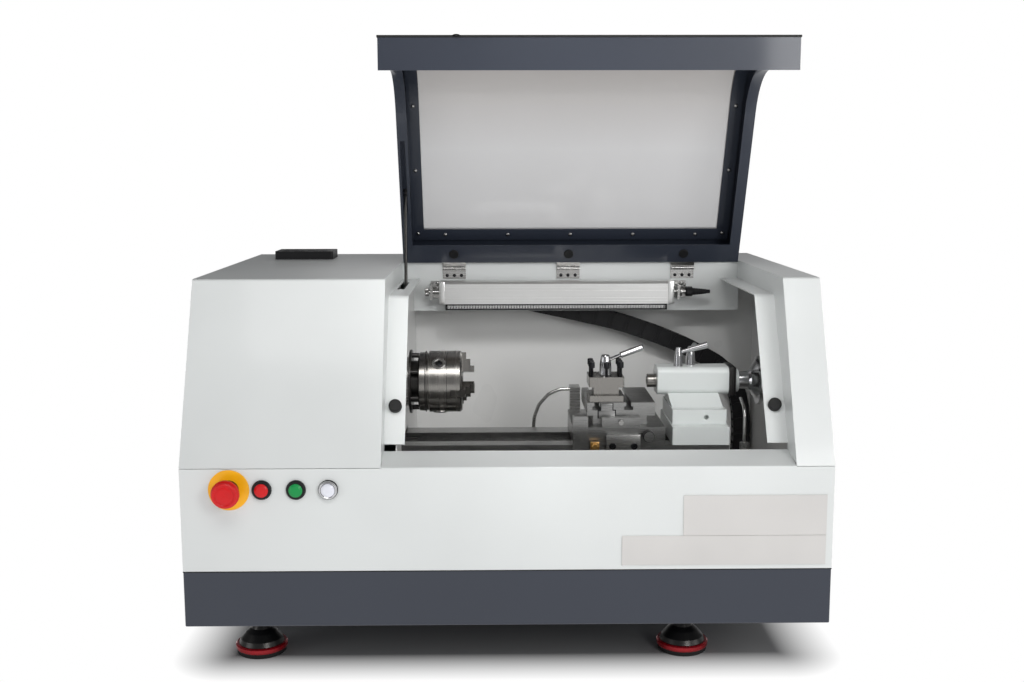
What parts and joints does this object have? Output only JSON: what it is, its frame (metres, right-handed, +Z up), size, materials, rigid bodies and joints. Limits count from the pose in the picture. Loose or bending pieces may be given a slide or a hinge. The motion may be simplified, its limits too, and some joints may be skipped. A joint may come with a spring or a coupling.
{
  "type": "metal lathe",
  "caption": "Enclosed bench metal lathe: sheet-metal cabinet on levelling feet, hinged glazed lid, chuck, cross-slide with tool post, tailstock and front push buttons.",
  "frame": {"origin": "on the floor, under the middle of the machine's bounding box with the lid open", "axes": "+Z up, the operator's side is -Y, the chuck end is -X"},
  "size_m": [0.96, 0.694, 0.9542],
  "materials": {
    "cabinet_light": "light grey powder coat",
    "cabinet_dark": "dark blue-grey powder coat",
    "liner_grey": "satin grey sheet",
    "plate_white": "plain white plates",
    "black_plastic": "black plastic",
    "black_rubber": "black rubber",
    "red_anodised": "red ring",
    "dark_steel": "dark steel",
    "black_steel": "black oxide",
    "bright_steel": "bright steel",
    "ground_steel": "ground steel",
    "ground_iron": "ground iron",
    "painted_casting": "light grey painted casting",
    "chrome": "polished",
    "aluminium": "extruded aluminium",
    "lamp_lens": "clear cover",
    "pane": "translucent sheet",
    "yellow_plastic": "yellow",
    "red_plastic": "red",
    "green_plastic": "green",
    "white_plastic": "white"
  },
  "bodies": {
    "root": {"base_tray": "cabinet_dark", "front_panel": "cabinet_light", "left_cover": "cabinet_light", "right_cover": "cabinet_light", "rear_housing": "cabinet_light", "chamber_liner": "liner_grey", "vent_box": "black_plastic", "name_plates": "plate_white", "rail_bumpers": "black_rubber", "foot_pads": "black_rubber", "foot_rings": "red_anodised", "foot_domes": "dark_steel", "foot_studs": "bright_steel", "estop_plate": "yellow_plastic", "button_bezels": "black_plastic", "hinge_leaves_fixed": "bright_steel", "lamp_brackets": "bright_steel", "bed": "ground_iron", "headstock": "painted_casting", "spindle_bearings": "bright_steel", "motors": "black_plastic", "drive_belt": "black_rubber", "drag_chain": "black_plastic", "coolant_pipe": "bright_steel"},
    "lid": {"lid_frame": "cabinet_dark", "lid_pane": "pane", "pane_strips": "cabinet_dark", "lid_screws": "bright_steel", "lid_plugs": "black_plastic", "hinge_leaves_lid": "bright_steel"},
    "stay": {"lid_stay": "dark_steel"},
    "lamp": {"lamp_housing": "aluminium", "lamp_lens": "lamp_lens", "lamp_ends": "dark_steel"},
    "spindle": {"spindle": "bright_steel", "spindle_pulley": "aluminium", "chuck_backplate": "dark_steel", "chuck_body": "ground_steel"},
    "jaw_1": {"chuck_jaw_1": "ground_steel"},
    "jaw_2": {"chuck_jaw_2": "ground_steel"},
    "jaw_3": {"chuck_jaw_3": "ground_steel"},
    "rotor": {"motor_pulley": "aluminium"},
    "carriage": {"saddle": "ground_iron", "oil_pipe": "bright_steel"},
    "z_screw": {"z_screw": "bright_steel"},
    "x_screw": {"x_screw": "bright_steel"},
    "cross_slide": {"cross_slide": "ground_iron"},
    "tool_post": {"tool_post": "ground_steel", "tool_screws": "black_steel"},
    "post_lever": {"tool_post_lever": "chrome"},
    "tailstock": {"tailstock_base": "painted_casting", "tailstock_body": "painted_casting"},
    "quill": {"quill": "ground_steel"},
    "handwheel": {"tailstock_handwheel": "chrome"},
    "quill_lever": {"quill_lock_lever": "chrome"},
    "clamp_lever": {"clamp_lever": "chrome"},
    "estop": {"estop_button": "red_plastic"},
    "red_button": {"red_button": "red_plastic"},
    "green_button": {"green_button": "green_plastic"},
    "white_button": {"white_button": "white_plastic"}
  },
  "joints": [
    {"name": "lid_hinge", "type": "hinge", "parent": "root", "child": "lid", "pos_m": [0.11875, 0.154, 0.587], "axis": [1, 0, 0], "range_deg": [0, 65.5]},
    {"name": "stay_pivot", "type": "hinge", "parent": "root", "child": "stay", "pos_m": [-0.176, 0.084, 0.527], "axis": [1, 0, 0], "range_deg": [0, 76]},
    {"name": "lamp_tilt", "type": "hinge", "parent": "root", "child": "lamp", "pos_m": [0.091, 0.13, 0.546], "axis": [1, 0, 0], "range_deg": [-15, 15]},
    {"name": "spindle_turn", "type": "hinge", "parent": "root", "child": "spindle", "pos_m": [0, -0.082, 0.421], "axis": [1, 0, 0], "continuous": true},
    {"name": "jaw_1_slide", "type": "slide", "parent": "spindle", "child": "jaw_1", "axis": [0, 0.2588, 0.9659], "range_m": [-0.003, 0.003]},
    {"name": "jaw_2_slide", "type": "slide", "parent": "spindle", "child": "jaw_2", "axis": [0, -0.9659, -0.2588], "range_m": [-0.003, 0.003]},
    {"name": "jaw_3_slide", "type": "slide", "parent": "spindle", "child": "jaw_3", "axis": [0, 0.7071, -0.7071], "range_m": [-0.003, 0.003]},
    {"name": "rotor_turn", "type": "hinge", "parent": "root", "child": "rotor", "pos_m": [0, 0.07, 0.262], "axis": [1, 0, 0], "continuous": true},
    {"name": "z_screw_turn", "type": "hinge", "parent": "root", "child": "z_screw", "pos_m": [0, -0.102, 0.3], "axis": [1, 0, 0], "range_deg": [-12700, 460]},
    {"name": "carriage_slide", "type": "slide", "parent": "root", "child": "carriage", "axis": [1, 0, 0], "range_m": [-0.175, 0.005]},
    {"name": "x_screw_turn", "type": "hinge", "parent": "carriage", "child": "x_screw", "pos_m": [0.18, 0, 0.369], "axis": [0, 1, 0], "range_deg": [-1900, 4600]},
    {"name": "cross_slide_travel", "type": "slide", "parent": "carriage", "child": "cross_slide", "axis": [0, 1, 0], "range_m": [-0.02, 0.05]},
    {"name": "tool_post_index", "type": "hinge", "parent": "cross_slide", "child": "tool_post", "pos_m": [0.159, -0.116, 0.4], "axis": [0, 0, 1], "range_deg": [-90, 90]},
    {"name": "post_lever_turn", "type": "hinge", "parent": "tool_post", "child": "post_lever", "pos_m": [0.159, -0.116, 0.46], "axis": [0, 0, 1], "range_deg": [-30, 30]},
    {"name": "tailstock_slide", "type": "slide", "parent": "root", "child": "tailstock", "axis": [1, 0, 0], "range_m": [-0.005, 0.03]},
    {"name": "handwheel_turn", "type": "hinge", "parent": "tailstock", "child": "handwheel", "pos_m": [0.4, -0.082, 0.421], "axis": [1, 0, 0], "range_deg": [-2160, 4320]},
    {"name": "quill_slide", "type": "slide", "parent": "tailstock", "child": "quill", "axis": [-1, 0, 0], "range_m": [-0.0122, 0.0244]},
    {"name": "quill_lock_turn", "type": "hinge", "parent": "tailstock", "child": "quill_lever", "pos_m": [0.281, -0.088, 0.45], "axis": [0, 0, 1], "range_deg": [-60, 10]},
    {"name": "clamp_lever_turn", "type": "hinge", "parent": "tailstock", "child": "clamp_lever", "pos_m": [0.303, -0.074, 0.45], "axis": [0, 0, 1], "range_deg": [-30, 60]},
    {"name": "estop_press", "type": "slide", "parent": "root", "child": "estop", "axis": [0, 1, 0], "range_m": [0, 0.004]},
    {"name": "red_press", "type": "slide", "parent": "root", "child": "red_button", "axis": [0, 1, 0], "range_m": [0, 0.003], "stiffness_N_per_m": 500},
    {"name": "green_press", "type": "slide", "parent": "root", "child": "green_button", "axis": [0, 1, 0], "range_m": [0, 0.003], "stiffness_N_per_m": 500},
    {"name": "white_press", "type": "slide", "parent": "root", "child": "white_button", "axis": [0, 1, 0], "range_m": [0, 0.003], "stiffness_N_per_m": 500}
  ],
  "couplings": [
    {"joint": "stay_pivot", "follows": "lid_hinge", "ratio": 1.141},
    {"joint": "jaw_2_slide", "follows": "jaw_1_slide", "ratio": 1},
    {"joint": "jaw_3_slide", "follows": "jaw_1_slide", "ratio": 1},
    {"joint": "rotor_turn", "follows": "spindle_turn", "ratio": 1.5},
    {"joint": "z_screw_turn", "follows": "carriage_slide", "rad_per_m": 1256.6},
    {"joint": "x_screw_turn", "follows": "cross_slide_travel", "rad_per_m": 1570.8},
    {"joint": "quill_slide", "follows": "handwheel_turn", "m_per_rad": 0.00031831}
  ]
}
